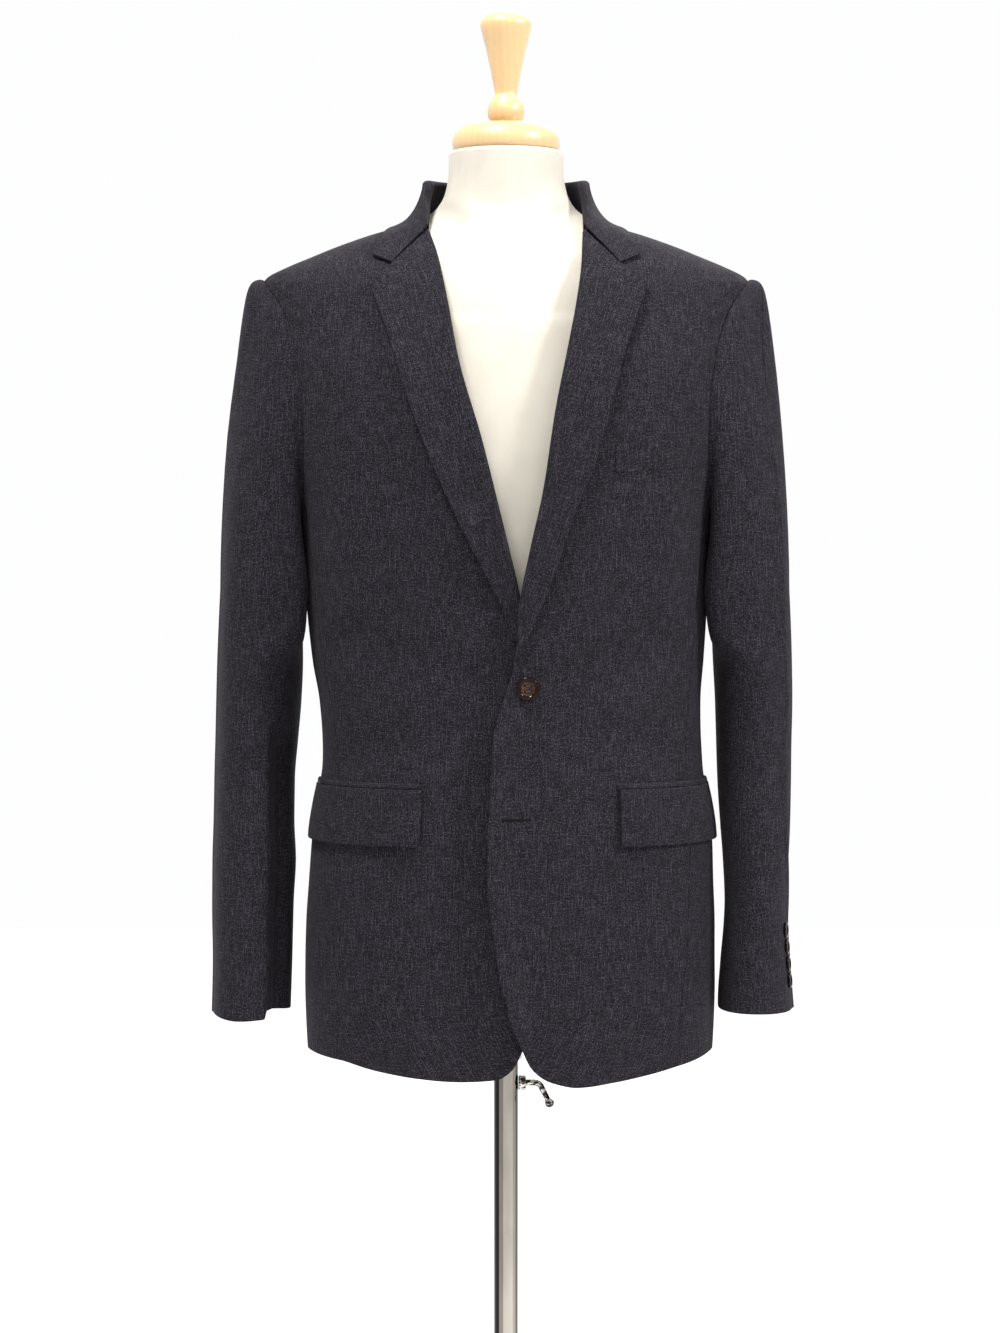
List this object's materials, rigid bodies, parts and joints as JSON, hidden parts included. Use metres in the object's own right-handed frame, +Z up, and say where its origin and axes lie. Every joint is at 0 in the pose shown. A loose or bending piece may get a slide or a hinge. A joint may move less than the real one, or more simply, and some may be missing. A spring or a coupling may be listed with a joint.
{
  "type": "single breasted blazer on a dress form",
  "caption": "Dark melange wool blazer with notch lapels and flap pockets, buttoned at the waist on a cream dress form with a wooden top and a chrome stand.",
  "frame": {"origin": "centre of the base plate's underside, on the floor", "axes": "+Z up along the pole; the front of the blazer faces -Y; +X is towards the wearer's left"},
  "size_m": [0.5202, 0.34, 1.6368],
  "materials": {
    "wool": "plain woven charcoal melange wool, soft",
    "horn": "brown horn-look buttons, satin",
    "jersey": "cream stretch jersey",
    "honey_wood": "honey varnish, glossy",
    "chrome": "polished"
  },
  "bodies": {
    "stand": {"stand_base": "chrome", "stand_tube": "chrome", "clamp_nut": "chrome"},
    "rod": {"stand_rod": "chrome"},
    "form": {"form_torso": "jersey", "form_cap": "honey_wood", "form_finial": "honey_wood", "form_plate": "chrome", "front_left": "wool", "front_right": "wool", "side_left": "wool", "side_right": "wool", "back_left": "wool", "back_right": "wool", "lapel_left": "wool", "lapel_right": "wool", "collar": "wool", "pocket_flap_left": "wool", "pocket_flap_right": "wool", "pocket_jet_left": "wool", "pocket_jet_right": "wool", "breast_welt": "wool", "sleeve_top_left": "wool", "sleeve_under_left": "wool", "sleeve_top_right": "wool", "sleeve_under_right": "wool", "button_front": "horn", "button_lower": "horn", "cuff_button_left_1": "horn", "cuff_button_left_2": "horn", "cuff_button_left_3": "horn", "cuff_button_left_4": "horn", "cuff_button_right_1": "horn", "cuff_button_right_2": "horn", "cuff_button_right_3": "horn", "cuff_button_right_4": "horn"},
    "lever": {"clamp_lever": "chrome"}
  },
  "joints": [
    {"name": "height_slide", "type": "slide", "parent": "stand", "child": "rod", "axis": [0, 0, 1], "range_m": [0, 0.25]},
    {"name": "form_swivel", "type": "hinge", "parent": "rod", "child": "form", "pos_m": [0, 0, 1], "axis": [0, 0, 1], "continuous": true},
    {"name": "lever_turn", "type": "hinge", "parent": "stand", "child": "lever", "pos_m": [0.015, 0, 0.6735], "axis": [1, 0, 0], "range_deg": [-180, 180]}
  ]
}
